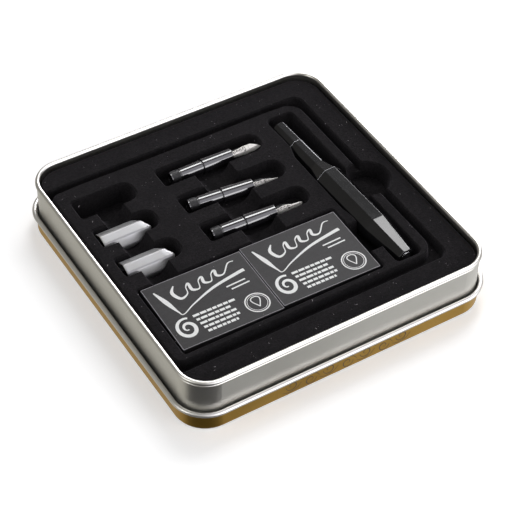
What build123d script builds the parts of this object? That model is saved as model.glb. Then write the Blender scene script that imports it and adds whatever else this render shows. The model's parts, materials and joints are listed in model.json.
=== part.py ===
from build123d import *
import math
import os

# A calligraphy set in a square tin. The silver base stands in its own upturned gold lid and
# holds a flocked, vacuum-formed tray with a closed pen, three spare nib units, two slide-on
# clips and two cartons of ink cartridges. Millimetres, +Z up, +Y away from the user, origin
# at the centre of the face that rests on the table.

os.makedirs("parts", exist_ok=True)

# ---------------------------------------------------------------- driving dimensions
# Tin
rim_corner = 12.2        # corner radius of that clear square
tin_height = 29.6        # table to the top of the rim
lid_depth = 12.0         # outside height of the lid
tinplate = 0.3
bead_radius = 1.1        # rolled edges, closed round a wire
base_wall_set_out = 1.45 # base wall outside the clear square, to the middle of the sheet
lid_wall_set_out = 2.65  # lid wall outside the clear square, to the middle of the sheet
rim_lean = 1.6           # height over which the base wall leans in to its rim
foot_radius = 1.8        # bend between wall and floor, to the outside
seat_gap = 0.05          # between a piece and what it rests on

# Tray
tray_rim_gap = 0.6       # between the tray and the clear square
tray_drop = 3.2          # rim top to tray top
tray_sheet = 0.8
wall_draft = 2.5         # degrees
moat_depth = 5.0
moat_draft = 8.0
moat_right = 4.0         # width of the moat on each side of the deck
moat_back = 3.4
moat_front = 5.2
flange_corner = 5.0
deck_edge = 5.1          # deck outside the outermost pockets
deck_front_edge = 3.0
deck_rim_gap = 2.0       # left end of the deck to the clear square
deck_corner = 8.0
deck_left_corner = 4.0
edge_soft = 0.5          # bevel of the upper edges of the formed sheet

# Rows of pockets, from the back row forwards
row_pitch = 20.7
row_count = 3
nib_row_y = 44.5
nib_pocket_left = -24.2
nib_pocket_right = 29.8
nib_pocket_width = 12.0
nib_pocket_depth = 7.3
clip_row_y = 44.9
clip_pocket_length = 30.0
clip_pocket_inset = 0.5  # from the left end of the carton pocket
clip_pocket_width = 12.4
clip_pocket_depth = 11.8
pocket_left_radius = 1.6
pocket_right_radius = 5.2
nib_scoop_x = 0.3
nib_scoop_half = 9.2
nib_scoop_depth = 6.9
clip_scoop_inset = 14.3  # from the left end of the clip pockets
clip_scoop_half = 6.8
clip_scoop_depth = 7.8
scoop_draft = 22.0       # degrees from upright
clip_scoop_round = 4.6
nib_scoop_round = 6.5
scoop_end_y = -20.0      # the scoops run out into the carton pocket

# Carton pocket and its finger notch towards the pen
carton_middle_x = -17.0
carton_middle_y = -33.3
carton_side_room = 0.8
carton_end_room = 1.15
carton_pocket_depth = 9.2
carton_pocket_corner = 1.6
notch_back = -24.6
notch_front = -43.6
notch_depth = 8.4

# Pen pocket and the half-round finger notch in the right flange
pen_pocket_depth = 9.9
barrel_pocket_depth = 10.9
barrel_pocket_lap = 3.0  # the deeper part starts this far under the cap
pen_pocket_corner = 2.6
pen_end_room = 2.9
pen_tail_room = 5.0
pen_side_room = 6.7      # right wall of the pocket, from the pen's end
thumb_offset = 12.0      # from the pen's end in x
thumb_y = -3.5
thumb_radius = 11.2
thumb_depth = 8.6

# Pen, measured along its axis from the end of the cap
pen_carton_gap = 13.1    # cap end's middle to the carton pocket
pen_end_y = -52.5
pen_turn = 1.7           # degrees in plan, barrel end towards -X
cap_length = 60.5
cap_half = 6.6           # half across the flats
cap_taper = 22.0         # the cap tapers over its last part
cap_end_half = 4.15
cap_round = 7.18         # radius that just breaks the corners of the octagon
cap_round_end = 4.4
cap_knee = 14.5          # where the rounding of the cap's end bends
cap_knee_radius = 6.2
bevel = 0.3              # small bevels of the turned pieces
flare_length = 8.2
flare_half = 6.22
barrel_half = 4.25
barrel_end_half = 3.85
barrel_length = 25.6     # seam of the end plug, behind the cap lip
end_plug_length = 15.6
spigot_length = 3.0
plug_wall = 1.0
neck_radius = 5.3
neck_length = 8.0
cap_bore_radius = 5.0
cap_bore_end = 14.0
liner_wall = 0.6
liner_length = 28.0
barrel_bore_radius = 3.45
finial_radius = 2.9
finial_rise = 0.6
finial_depth = 1.0
running_gap = 0.05
end_gap = 0.1

# Nib unit, measured from its rear end
sleeve_length = 5.0
sleeve_radius = 3.0
shank_length = 11.4
shank_radius = 3.3
groove_length = 0.6
groove_radius = 2.95
grip_length = 15.6
grip_radius = 3.7
grip_front_radius = 3.35
front_bore_radius = 2.6
front_bore_depth = 12.8
rear_bore_radius = 2.4
rear_bore_depth = 7.0
nipple_radius = 1.2
nipple_bore = 0.5
nipple_recess = 1.5
nib_reach = 14.8         # nib tip in front of the grip
nib_root = 6.0           # nib inside the grip
nib_sheet = 0.3
nib_wrap = 78.0          # degrees each side of the crown
nib_shoulder = 6.8       # from the grip to the widest place of the nib
nib_slit = 0.16
breather_radius = 0.45
breather_reach = 6.0
fit_gap = 0.02
feed_reach = 10.5
feed_root = 12.0
feed_fins = 5
feed_fin_pitch = 0.9
feed_fin_slot = 0.4
pen_nib_tip = 1.9
# x and y of the shoulder behind the grip, turn in plan, roll towards the user, nib tip width
nib_units = [
    (-1.3, 45.2, 0.0, 50.0, 2.3),
    (-3.4, 23.7, -5.0, 42.0, 0.9),
    (-3.6, 3.0, -2.4, 46.0, 1.4),
]

# Clip
clip_length = 24.2
clip_half = 5.15
clip_sheet = 0.5
clip_roll = 17.0
clip_prow = 3.6          # how much shorter the clip is at its crown
clip_prow_round = 0.8
clip_y_shift = 0.3       # from the middle of its pocket
clip_insets = [1.5, 2.0]  # square end of each clip, from the left end of its pocket

# Cartons of six ink cartridges
carton_width = 49.4
carton_length = 39.2
carton_height = 9.0
card = 0.4
flap_slit = 0.2
carton_turn = -1.2
carton_gap = 0.55
cartridge_count = 6
cartridge_radius = 3.4
cartridge_length = 37.4
cartridge_neck_radius = 2.1
cartridge_neck_length = 4.5
cartridge_shoulder = 2.0

# ---------------------------------------------------------------- derived places
tilt_cos = math.cos(math.radians(carton_turn))
tilt_sin = math.sin(math.radians(abs(carton_turn)))
carton_step = (carton_width + carton_gap) / tilt_cos
carton_reach_x = (carton_width * tilt_cos + carton_length * tilt_sin) / 2
carton_reach_y = (carton_length * tilt_cos + carton_width * tilt_sin) / 2
carton_pocket_left = carton_middle_x - carton_step / 2 - carton_reach_x - carton_side_room
carton_pocket_right = carton_middle_x + carton_step / 2 + carton_reach_x + carton_side_room
carton_pocket_back = carton_middle_y + carton_reach_y + carton_end_room
carton_pocket_front = carton_middle_y - carton_reach_y - carton_end_room
clip_pocket_left = carton_pocket_left + clip_pocket_inset
clip_pocket_right = clip_pocket_left + clip_pocket_length
clip_scoop_x = clip_pocket_left + clip_scoop_inset
pen_end_x = carton_pocket_right + pen_carton_gap
pen_lip_y = pen_end_y + cap_length
pen_tail_y = pen_lip_y + barrel_length + end_plug_length
thumb_x = pen_end_x + thumb_offset
pen_pocket_right = pen_end_x + pen_side_room
pen_pocket_back = pen_tail_y + pen_tail_room
pen_pocket_front = pen_end_y - pen_end_room
pen_pocket_outline = [
    (pen_pocket_right, pen_pocket_back),
    (pen_end_x - 7.6, pen_pocket_back),
    (pen_end_x - 7.0, pen_lip_y + 25.0),
    (pen_end_x - 9.1, pen_lip_y + 17.5),
    (pen_end_x - 9.1, -14.0),
    (pen_end_x - 7.9, -21.0),
    (pen_end_x - 7.9, -27.0),
    (pen_end_x - 6.9, -42.0),
    (pen_end_x - 6.9, pen_pocket_front),
    (pen_pocket_right, pen_pocket_front),
]
deck_left = carton_pocket_left - deck_edge
deck_right = pen_pocket_right + deck_edge
deck_back = pen_pocket_back + deck_edge
deck_front = carton_pocket_front - deck_front_edge
flange_inner_right = deck_right + moat_right
flange_inner_back = deck_back + moat_back
flange_inner_front = deck_front - moat_front
rim_half = deck_rim_gap - deck_left   # half the clear square inside the rolled rim
tray_top = tin_height - tray_drop
base_bottom = tinplate + seat_gap
tray_foot = base_bottom + tinplate + seat_gap
tray_half = rim_half - tray_rim_gap
tray_corner = rim_corner - tray_rim_gap
pen_axis_z = tray_top - pen_pocket_depth + seat_gap + cap_half
nib_axis_z = tray_top - nib_pocket_depth + seat_gap + grip_radius
unit_shoulder = sleeve_length + shank_length + groove_length
unit_mouth = unit_shoulder + grip_length
OCTAGON = 1 / math.cos(math.radians(22.5))   # corner radius of an octagon one half-flat wide


def save(piece, name):
    """Label one finished piece and write it."""
    piece.part.label = name
    export_step(piece.part, f"parts/{name}.step")


def axis_frame(x, y, z, heading, roll=0.0):
    """Planes square to a level axis; heading is degrees from +X, local +Y is up, then rolled."""
    turn = math.radians(heading)
    along = Vector(math.cos(turn), math.sin(turn), 0)
    side = Vector(math.sin(turn), -math.cos(turn), 0).rotate(Axis((0, 0, 0), along), -roll)
    return lambda distance: Plane(
        origin=Vector(x, y, z) + along * distance, x_dir=-side, z_dir=along
    )


# ---------------------------------------------------------------- tin
def square_path(half, corner):
    """Closed round-cornered path that starts in the middle of the front side."""
    straight = half - corner
    side = Line((0, -half), (straight, -half))
    for turn in range(4):
        bend = JernArc(side @ 1, side % 1, corner, 90)
        length = straight if turn == 3 else 2 * straight
        side = Line(bend @ 1, bend @ 1 + (bend % 1) * length)


def tin_shell(wall_half, corner, bottom, height, lean):
    """Pressed tin with a bent foot, an upright wall and a rolled edge turned outwards."""
    middle = wall_half - tinplate / 2
    roll_level = bottom + height - bead_radius
    wall_top = roll_level - (rim_lean if lean > 0 else 0)
    with BuildPart() as shell:
        with BuildSketch(Plane.XY.offset(bottom)):
            RectangleRounded(2 * wall_half, 2 * wall_half, corner)
        extrude(amount=wall_top - bottom)
        fillet(faces().sort_by(Axis.Z)[0].edges(), foot_radius)
        with BuildPart(mode=Mode.PRIVATE) as inside:
            inner = wall_half - tinplate
            with BuildSketch(Plane.XY.offset(bottom + tinplate)):
                RectangleRounded(2 * inner, 2 * inner, corner - tinplate)
            extrude(amount=wall_top - bottom)
            fillet(faces().sort_by(Axis.Z)[0].edges(), foot_radius - tinplate)
        add(inside.part, mode=Mode.SUBTRACT)
        with BuildLine(Plane.XY.offset(wall_top)) as path:
            square_path(middle, corner - tinplate / 2)
        front = Plane(origin=(0, -middle, wall_top), x_dir=(0, 1, 0), z_dir=(1, 0, 0))
        bead_middle = lean + tinplate / 2 - bead_radius
        with BuildSketch(front):
            with Locations((bead_middle, roll_level - wall_top)):
                Circle(bead_radius)
            if lean > 0:
                Polygon(
                    (-tinplate / 2, 0),
                    (tinplate / 2, 0),
                    (lean + tinplate / 2, roll_level - wall_top),
                    (lean - tinplate / 2, roll_level - wall_top),
                    align=None,
                )
        sweep(path=path.wire())
    return shell


lid_shell = tin_shell(
    rim_half + lid_wall_set_out + tinplate / 2,
    rim_corner + lid_wall_set_out + tinplate / 2,
    0,
    lid_depth,
    0,
)
save(lid_shell, "lid_shell")

base_shell = tin_shell(
    rim_half + base_wall_set_out + tinplate / 2,
    rim_corner + base_wall_set_out + tinplate / 2,
    base_bottom,
    tin_height - base_bottom,
    base_wall_set_out - tinplate / 2,
)
save(base_shell, "base_shell")


# ---------------------------------------------------------------- tray
def recess(outline, depth, draft, grow):
    """Sink an outline into the tray, with a softened upper edge on the upper side."""
    with BuildPart() as sunk:
        with BuildSketch(Plane.XY.offset(tray_top)):
            add(outline)
            if grow > 0:
                offset(amount=grow)
        extrude(amount=-(depth + grow), taper=draft)
        if grow == 0:
            with BuildSketch(Plane.XY.offset(tray_top)):
                add(outline)
                offset(amount=edge_soft)
            extrude(amount=-edge_soft, taper=45)
    return sunk.part


def box_outline(left, right, front, back, left_corner, right_corner):
    """Rectangle with its own corner radius at each end."""
    with BuildSketch() as outline:
        with Locations(((left + right) / 2, (front + back) / 2)):
            Rectangle(right - left, back - front)
        if left_corner > 0:
            fillet(outline.vertices().group_by(Axis.X)[0], left_corner)
        if right_corner > 0:
            fillet(outline.vertices().group_by(Axis.X)[-1], right_corner)
    return outline.sketch


def row_pocket(left, right, middle_y, width, depth, grow):
    """Pocket with tight left corners and a round right end."""
    outline = box_outline(left, right, middle_y - width / 2, middle_y + width / 2,
                          pocket_left_radius, pocket_right_radius)
    return recess(outline, depth, wall_draft, grow)


def scoop(centre_x, half, depth, bottom_round, start_y, grow):
    """Finger groove along Y with sloping sides and a rounded bottom."""
    slope = depth * math.tan(math.radians(scoop_draft))
    lip = edge_soft * (0 if grow > 0 else 1)
    section = Plane(origin=(centre_x, scoop_end_y, tray_top), x_dir=(-1, 0, 0), z_dir=(0, 1, 0))
    with BuildPart() as groove:
        with BuildSketch(section):
            Polygon(
                (-half, 0),
                (-half - lip, 0),
                (-half - lip, depth),
                (half + lip, depth),
                (half + lip, 0),
                (half, -lip),
                (half - slope, -depth),
                (-half + slope, -depth),
                (-half, -lip),
                align=None,
            )
            fillet(vertices().group_by(Axis.Y)[0], bottom_round)
            if grow > 0:
                offset(amount=grow)
        extrude(amount=start_y - scoop_end_y)
    return groove.part


def deck_block(grow):
    """The raised middle of the tray, which stands inside the moat."""
    outline = box_outline(deck_left, deck_right, deck_front, deck_back,
                          deck_left_corner, deck_corner)
    with BuildPart() as deck:
        with BuildSketch(Plane.XY.offset(tray_top)):
            add(outline)
            if grow > 0:
                offset(amount=-grow)
        extrude(amount=-(moat_depth + grow), taper=-moat_draft)
        chamfer(deck.edges().group_by(Axis.Z)[-1], edge_soft)
    return deck.part


def hollows(grow):
    """All recesses of the tray; grown by the sheet they give the underside of the forming."""
    flange_opening = box_outline(deck_left - 10, flange_inner_right, flange_inner_front,
                                 flange_inner_back, 0, flange_corner)
    carton_outline = box_outline(carton_pocket_left, carton_pocket_right, carton_pocket_front,
                                 carton_pocket_back, carton_pocket_corner, carton_pocket_corner)
    notch_outline = box_outline(carton_pocket_right - 4, pen_end_x, notch_front, notch_back, 0, 0)
    with BuildSketch() as pen_outline:
        Polygon(*pen_pocket_outline, align=None)
        fillet(pen_outline.vertices(), pen_pocket_corner)
    with BuildSketch() as barrel_outline:
        add(pen_outline.sketch)
        with Locations((0, pen_lip_y - barrel_pocket_lap - grow)):
            Rectangle(200, 200, align=(Align.CENTER, Align.MIN), mode=Mode.INTERSECT)
        if grow > 0:
            offset(amount=grow)
    with BuildSketch() as thumb_outline:
        with Locations((thumb_x, thumb_y)):
            Circle(thumb_radius)
    with BuildPart() as sunk:
        add(recess(flange_opening, moat_depth, moat_draft, grow))
        add(deck_block(grow), mode=Mode.SUBTRACT)
        for row in range(row_count):
            drop = row * row_pitch
            add(row_pocket(clip_pocket_left, clip_pocket_right, clip_row_y - drop,
                           clip_pocket_width, clip_pocket_depth, grow))
            add(row_pocket(nib_pocket_left, nib_pocket_right, nib_row_y - drop,
                           nib_pocket_width, nib_pocket_depth, grow))
        add(scoop(clip_scoop_x, clip_scoop_half, clip_scoop_depth, clip_scoop_round,
                  clip_row_y, grow))
        add(scoop(nib_scoop_x, nib_scoop_half, nib_scoop_depth, nib_scoop_round,
                  nib_row_y, grow))
        add(recess(carton_outline, carton_pocket_depth, wall_draft, grow))
        add(recess(notch_outline, notch_depth, wall_draft, grow))
        add(recess(pen_outline.sketch, pen_pocket_depth, wall_draft, grow))
        add(recess(thumb_outline.sketch, thumb_depth, 4 * wall_draft, grow))
        # deeper under the barrel, so that the barrel can be turned
        with BuildSketch(Plane.XY.offset(tray_top - 2)):
            add(barrel_outline.sketch)
        extrude(amount=-(barrel_pocket_depth - 2 + grow), taper=wall_draft)
    return sunk.part


def tray_block(half, corner, bottom, top, soft):
    """Plain block as large as the tray."""
    with BuildPart() as block:
        with BuildSketch(Plane.XY.offset(bottom)):
            RectangleRounded(2 * half, 2 * half, corner)
        extrude(amount=top - bottom)
        if soft > 0:
            chamfer(block.edges().group_by(Axis.Z)[-1], soft)
    return block.part


with BuildPart() as tray_under:
    add(tray_block(tray_half - tray_sheet, tray_corner - tray_sheet, tray_foot - 5,
                   tray_top - tray_sheet, 0))
    add(hollows(tray_sheet), mode=Mode.SUBTRACT)

with BuildPart() as insert_tray:
    add(tray_block(tray_half, tray_corner, tray_foot, tray_top, edge_soft))
    add(hollows(0), mode=Mode.SUBTRACT)
    add(tray_under.part, mode=Mode.SUBTRACT)
save(insert_tray, "insert_tray")


# ---------------------------------------------------------------- nib units
def ring_profile(outline):
    """Revolve an (axial distance, radius) outline about the local Z axis of a shaft."""
    with BuildPart() as turned:
        with BuildSketch(Plane.XZ):
            with BuildLine():
                Polyline(*[(radius, distance) for distance, radius in outline], close=True)
            make_face()
        revolve(axis=Axis.Z)
    return turned.part


def placed(piece, frame, distance=0.0):
    """Put a piece that was made along the local Z axis at its place on a shaft."""
    return piece.moved(frame(distance).location)


def nib_outline(tip):
    """Plan of the nib in front of the grip; the root inside the grip is full width."""
    wide = front_bore_radius
    return [
        (-wide - 1, -nib_root - 1),
        (wide + 1, -nib_root - 1),
        (wide + 1, -fit_gap),
        (0.72 * wide, 0),
        (0.84 * wide, 0.5 * nib_shoulder),
        (0.98 * wide, nib_shoulder),
        (0.80 * wide, nib_shoulder + 0.35 * (nib_reach - nib_shoulder)),
        (tip / 2, nib_reach),
        (-tip / 2, nib_reach - 0.25 * tip),
        (-0.80 * wide, nib_shoulder + 0.35 * (nib_reach - nib_shoulder)),
        (-0.98 * wide, nib_shoulder),
        (-0.84 * wide, 0.5 * nib_shoulder),
        (-0.72 * wide, 0),
        (-wide - 1, -fit_gap),
    ]


def grip_section():
    """Grip with its rear sleeve, ink channel and the pipe that opens a cartridge."""
    length = unit_mouth
    web_rear = rear_bore_depth
    web_front = length - front_bore_depth
    outline = [
        (nipple_recess, nipple_bore),
        (nipple_recess, nipple_radius),
        (web_rear, nipple_radius),
        (web_rear, rear_bore_radius),
        (0, rear_bore_radius),
        (0, sleeve_radius),
        (sleeve_length, sleeve_radius),
        (sleeve_length, shank_radius),
        (sleeve_length + shank_length, shank_radius),
        (sleeve_length + shank_length, groove_radius),
        (unit_shoulder, groove_radius),
        (unit_shoulder, grip_radius),
        (length, grip_front_radius),
        (length, front_bore_radius),
        (web_front, front_bore_radius),
        (web_front, nipple_bore),
    ]
    return ring_profile(outline)


def ink_feed():
    """Feed with comb slots below, thin at the tip; z = 0 is the mouth of the grip."""
    radius = front_bore_radius - fit_gap - nib_sheet - fit_gap
    with BuildPart() as feed:
        with BuildSketch(Plane.XY.offset(-feed_root)):
            Circle(radius)
        extrude(amount=feed_root + feed_reach)
        with BuildSketch(Plane.YZ):
            Polygon(
                (-radius - 1, 0.315 * feed_reach),
                (-radius - 1, feed_reach + 1),
                (radius + 1, feed_reach + 1),
                (radius + 1, feed_reach - 0.5),
                (radius - 0.9, feed_reach - 0.3),
                align=None,
            )
        extrude(amount=radius + 1, both=True, mode=Mode.SUBTRACT)
        for fin in range(feed_fins):
            level = 0.3 + fin * feed_fin_pitch
            with BuildSketch(Plane.XY.offset(level)):
                with Locations((0, -radius)):
                    Rectangle(2 * radius + 2, 2 * radius - 0.4)
                Circle(0.62 * radius, mode=Mode.SUBTRACT)
            extrude(amount=feed_fin_slot, mode=Mode.SUBTRACT)
    return feed.part


def steel_nib(tip):
    """Sheet nib bent round the feed, slit from tip to breather hole; z = 0 is the mouth."""
    outer = front_bore_radius - fit_gap
    with BuildPart() as nib:
        with BuildSketch(Plane.XY.offset(-nib_root)):
            with BuildLine():
                start = 90 - nib_wrap
                outside = CenterArc((0, 0), outer, start, 2 * nib_wrap)
                inside = CenterArc((0, 0), outer - nib_sheet, start, 2 * nib_wrap)
                Line(outside @ 0, inside @ 0)
                Line(outside @ 1, inside @ 1)
            make_face()
        extrude(amount=nib_root + nib_reach)
        with BuildSketch(Plane.XZ):
            Polygon(*nib_outline(tip), align=None)
        extrude(amount=-2 * outer, mode=Mode.INTERSECT)
        with BuildSketch(Plane.XZ):
            with Locations((0, breather_reach)):
                Circle(breather_radius)
            with Locations((0, (breather_reach + nib_reach + 1) / 2)):
                Rectangle(nib_slit, nib_reach + 1 - breather_reach)
        extrude(amount=-2 * outer, mode=Mode.SUBTRACT)
    return nib.part


def save_nib_unit(name, frame, tip):
    """Write grip, feed and nib of one unit; frame(0) is its rear end."""
    with BuildPart() as section:
        add(placed(grip_section(), frame))
    save(section, f"{name}_section")
    with BuildPart() as feed:
        add(placed(ink_feed(), frame, unit_mouth))
    save(feed, f"{name}_feed")
    with BuildPart() as nib:
        add(placed(steel_nib(tip), frame, unit_mouth))
    save(nib, f"{name}_nib")


for index, (shoulder_x, shoulder_y, turn, roll, tip) in enumerate(nib_units, 1):
    heading = math.radians(turn)
    rear_x = shoulder_x - unit_shoulder * math.cos(heading)
    rear_y = shoulder_y - unit_shoulder * math.sin(heading)
    save_nib_unit(f"nib_unit_{index}", axis_frame(rear_x, rear_y, nib_axis_z, turn, roll), tip)


# ---------------------------------------------------------------- pen
pen_frame = axis_frame(pen_end_x, pen_end_y, pen_axis_z, 90 + pen_turn)
section_seat = cap_length - neck_length
front_unit_rear = section_seat + unit_shoulder
pen_front_turn = 90 + pen_turn + 180
lip = cap_length + end_gap
seam = lip + barrel_length
pen_end = seam + end_plug_length
liner_seat = cap_bore_end + 2 * liner_wall
neck_room = section_seat - 2 * bevel


def octagon(half):
    """Regular octagon with a flat on top, given half its width across the flats."""
    RegularPolygon(half * OCTAGON, 8, rotation=22.5)


def octagon_bar(start, start_half, end, end_half):
    """Straight or tapering octagonal bar along the local Z axis."""
    with BuildPart() as bar:
        with BuildSketch(Plane.XY.offset(start)):
            octagon(start_half)
        with BuildSketch(Plane.XY.offset(end)):
            octagon(end_half)
        loft()
    return bar.part


with BuildPart() as cap:
    add(octagon_bar(cap_taper, cap_half, cap_length, cap_half))
    add(octagon_bar(0, cap_end_half, cap_taper, cap_half))
    add(ring_profile([
        (0, 0), (0, cap_round_end - bevel), (bevel, cap_round_end), (cap_knee, cap_knee_radius),
        (cap_taper, cap_round), (cap_length - bevel, cap_round), (cap_length, cap_round - bevel),
        (cap_length, 0),
    ]), mode=Mode.INTERSECT)
    add(ring_profile([
        (cap_bore_end, 0), (cap_bore_end, cap_bore_radius - liner_wall),
        (liner_seat, cap_bore_radius), (neck_room, cap_bore_radius),
        (neck_room, neck_radius + running_gap), (cap_length, neck_radius + running_gap),
        (cap_length, 0),
    ]), mode=Mode.SUBTRACT)
    add(ring_profile([
        (-1, 0), (-1, finial_radius + fit_gap), (finial_depth, finial_radius + fit_gap),
        (finial_depth, 0),
    ]), mode=Mode.SUBTRACT)
with BuildPart() as pen_cap_shell:
    add(placed(cap.part, pen_frame))
save(pen_cap_shell, "pen_cap_shell")

with BuildPart() as pen_cap_liner:
    liner_radius = cap_bore_radius - fit_gap
    liner_start = liner_seat + fit_gap
    liner_end = liner_start + liner_length
    add(placed(ring_profile([
        (liner_start, 0), (liner_start, liner_radius), (liner_end, liner_radius),
        (liner_end, liner_radius - bevel), (liner_end - bevel, liner_radius - liner_wall),
        (liner_start + liner_wall, liner_radius - liner_wall), (liner_start + liner_wall, 0),
    ]), pen_frame))
save(pen_cap_liner, "pen_cap_liner")

with BuildPart() as pen_cap_finial:
    add(placed(ring_profile([
        (-finial_rise, 0), (-finial_rise, 0.35 * finial_radius),
        (-0.75 * finial_rise, 0.7 * finial_radius), (0, finial_radius),
        (finial_depth - fit_gap, finial_radius), (finial_depth - fit_gap, 0),
    ]), pen_frame))
save(pen_cap_finial, "pen_cap_finial")

with BuildPart() as barrel:
    add(octagon_bar(lip, flare_half, lip + flare_length, barrel_half))
    bar_end_half = barrel_half + (barrel_end_half - barrel_half) * (
        (seam - lip - flare_length) / (pen_end - lip - flare_length)
    )
    add(octagon_bar(lip + flare_length, barrel_half, seam, bar_end_half))
    add(ring_profile([
        (section_seat, 0), (section_seat, neck_radius - bevel),
        (section_seat + bevel, neck_radius), (lip + 1, neck_radius), (lip + 1, 0),
    ]))
    shank_bore = shank_radius + running_gap
    shank_bore_end = section_seat + groove_length + shank_length + 2 * bevel
    add(ring_profile([
        (section_seat - 1, 0), (section_seat - 1, shank_bore), (shank_bore_end, shank_bore),
        (shank_bore_end, barrel_bore_radius), (seam + 1, barrel_bore_radius), (seam + 1, 0),
    ]), mode=Mode.SUBTRACT)
with BuildPart() as pen_barrel:
    add(placed(barrel.part, pen_frame))
save(pen_barrel, "pen_barrel")

with BuildPart() as plug:
    spigot_radius = barrel_bore_radius - fit_gap
    spigot_start = seam - spigot_length
    add(octagon_bar(seam + end_gap, bar_end_half, pen_end, barrel_end_half))
    add(ring_profile([
        (seam, 0), (seam, barrel_half + 1), (pen_end - bevel, barrel_end_half + bevel),
        (pen_end, barrel_end_half - bevel), (pen_end, 0),
    ]), mode=Mode.INTERSECT)
    add(ring_profile([
        (spigot_start, 0), (spigot_start, spigot_radius - bevel),
        (spigot_start + bevel, spigot_radius), (seam + 1, spigot_radius), (seam + 1, 0),
    ]))
    add(ring_profile([
        (spigot_start - 1, 0), (spigot_start - 1, spigot_radius - plug_wall),
        (pen_end - 2 * plug_wall, spigot_radius - plug_wall), (pen_end - 2 * plug_wall, 0),
    ]), mode=Mode.SUBTRACT)
with BuildPart() as pen_barrel_end:
    add(placed(plug.part, pen_frame))
save(pen_barrel_end, "pen_barrel_end")

rear = pen_frame(front_unit_rear).origin
save_nib_unit("pen", axis_frame(rear.X, rear.Y, rear.Z, pen_front_turn), pen_nib_tip)

# ---------------------------------------------------------------- clips
lip_level = clip_half * math.cos(math.radians(clip_roll)) + clip_half * math.tan(
    math.radians(22.5)
) * math.sin(math.radians(clip_roll))
clip_axis_z = tray_top - clip_pocket_depth + seat_gap + lip_level


def clip_solid(half, start, end):
    """Octagonal bar with a slanting, rounded prow, lying along the local Z axis."""
    with BuildPart() as bar:
        with BuildSketch(Plane.XY.offset(start)):
            octagon(half)
        extrude(amount=end - start)
        with BuildSketch(Plane.YZ):
            Polygon(
                (half + 1, end - clip_prow - 1),
                (half + 1, end + 1),
                (-half - 1, end + 1),
                (-half - 1, end),
                (0.1 * half, end),
                (half, end - clip_prow),
                align=None,
            )
        extrude(amount=2 * half, both=True, mode=Mode.SUBTRACT)
        fillet(bar.faces().filter_by_position(Axis.Z, end - clip_prow, end + 1).sort_by(
            Axis.Z)[-1].edges(), clip_prow_round)
    return bar.part


for index, inset in enumerate(clip_insets, 1):
    left_end = clip_pocket_left + inset
    clip_y = clip_row_y - index * row_pitch + clip_y_shift
    frame = axis_frame(left_end, clip_y, clip_axis_z, 0, -clip_roll)
    with BuildPart() as shell:
        add(clip_solid(clip_half, 0, clip_length))
        add(clip_solid(clip_half - clip_sheet, -1, clip_length - clip_sheet), mode=Mode.SUBTRACT)
        slot = 2 * clip_half * math.tan(math.radians(22.5))
        with Locations((0, -clip_half, clip_length / 2)):
            Box(slot, 3 * clip_sheet, clip_length + 2, mode=Mode.SUBTRACT)
    with BuildPart() as clip:
        add(placed(shell.part, frame))
    save(clip, f"clip_{index}")

# ---------------------------------------------------------------- cartons and cartridges
carton_floor = tray_top - carton_pocket_depth + seat_gap
cartridge_pitch = (carton_width - 2 * card) / cartridge_count
for index, side in enumerate((-1, 1), 1):
    middle_x = carton_middle_x + side * carton_step / 2
    place = Location((middle_x, carton_middle_y, carton_floor), (0, 0, carton_turn))
    with BuildPart() as box:
        Box(carton_width, carton_length, carton_height,
            align=(Align.CENTER, Align.CENTER, Align.MIN))
        with Locations((0, 0, card)):
            Box(carton_width - 2 * card, carton_length - 2 * card, carton_height - 2 * card,
                align=(Align.CENTER, Align.CENTER, Align.MIN), mode=Mode.SUBTRACT)
        # slits round the end flaps, which hang from the upper edge
        for end in (-1, 1):
            flap_y = end * (carton_length - card) / 2
            for edge in (-1, 1):
                with Locations((edge * (carton_width / 2 - card - flap_slit), flap_y,
                                card + flap_slit)):
                    Box(flap_slit, 2 * card, carton_height - 3 * card,
                        align=(Align.CENTER, Align.CENTER, Align.MIN), mode=Mode.SUBTRACT)
            with Locations((0, flap_y, card + flap_slit)):
                Box(carton_width - 2 * card - 2 * flap_slit, 2 * card, flap_slit,
                    align=(Align.CENTER, Align.CENTER, Align.CENTER), mode=Mode.SUBTRACT)
    with BuildPart() as carton:
        add(box.part.moved(place))
    save(carton, f"carton_{index}")
    for number in range(1, cartridge_count + 1):
        x = (number - 0.5 - cartridge_count / 2) * cartridge_pitch
        body_end = cartridge_length - cartridge_neck_length - cartridge_shoulder
        with BuildPart() as ink:
            add(ring_profile([
                (0, 0), (0, cartridge_radius), (body_end, cartridge_radius),
                (body_end + cartridge_shoulder, cartridge_neck_radius),
                (cartridge_length, cartridge_neck_radius), (cartridge_length, 0),
            ]))
        lying = Location((x, -cartridge_length / 2, card + seat_gap + cartridge_radius),
                         (-90, 0, 0))
        with BuildPart() as cartridge:
            add(ink.part.moved(place * lying))
        save(cartridge, f"cartridge_{index}_{number}")
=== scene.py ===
"""Looks of the calligraphy set box: camera, light, materials and fine detail round the CAD frame."""
import json
import math
import random

import bpy
from mathutils import Matrix, Vector


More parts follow.
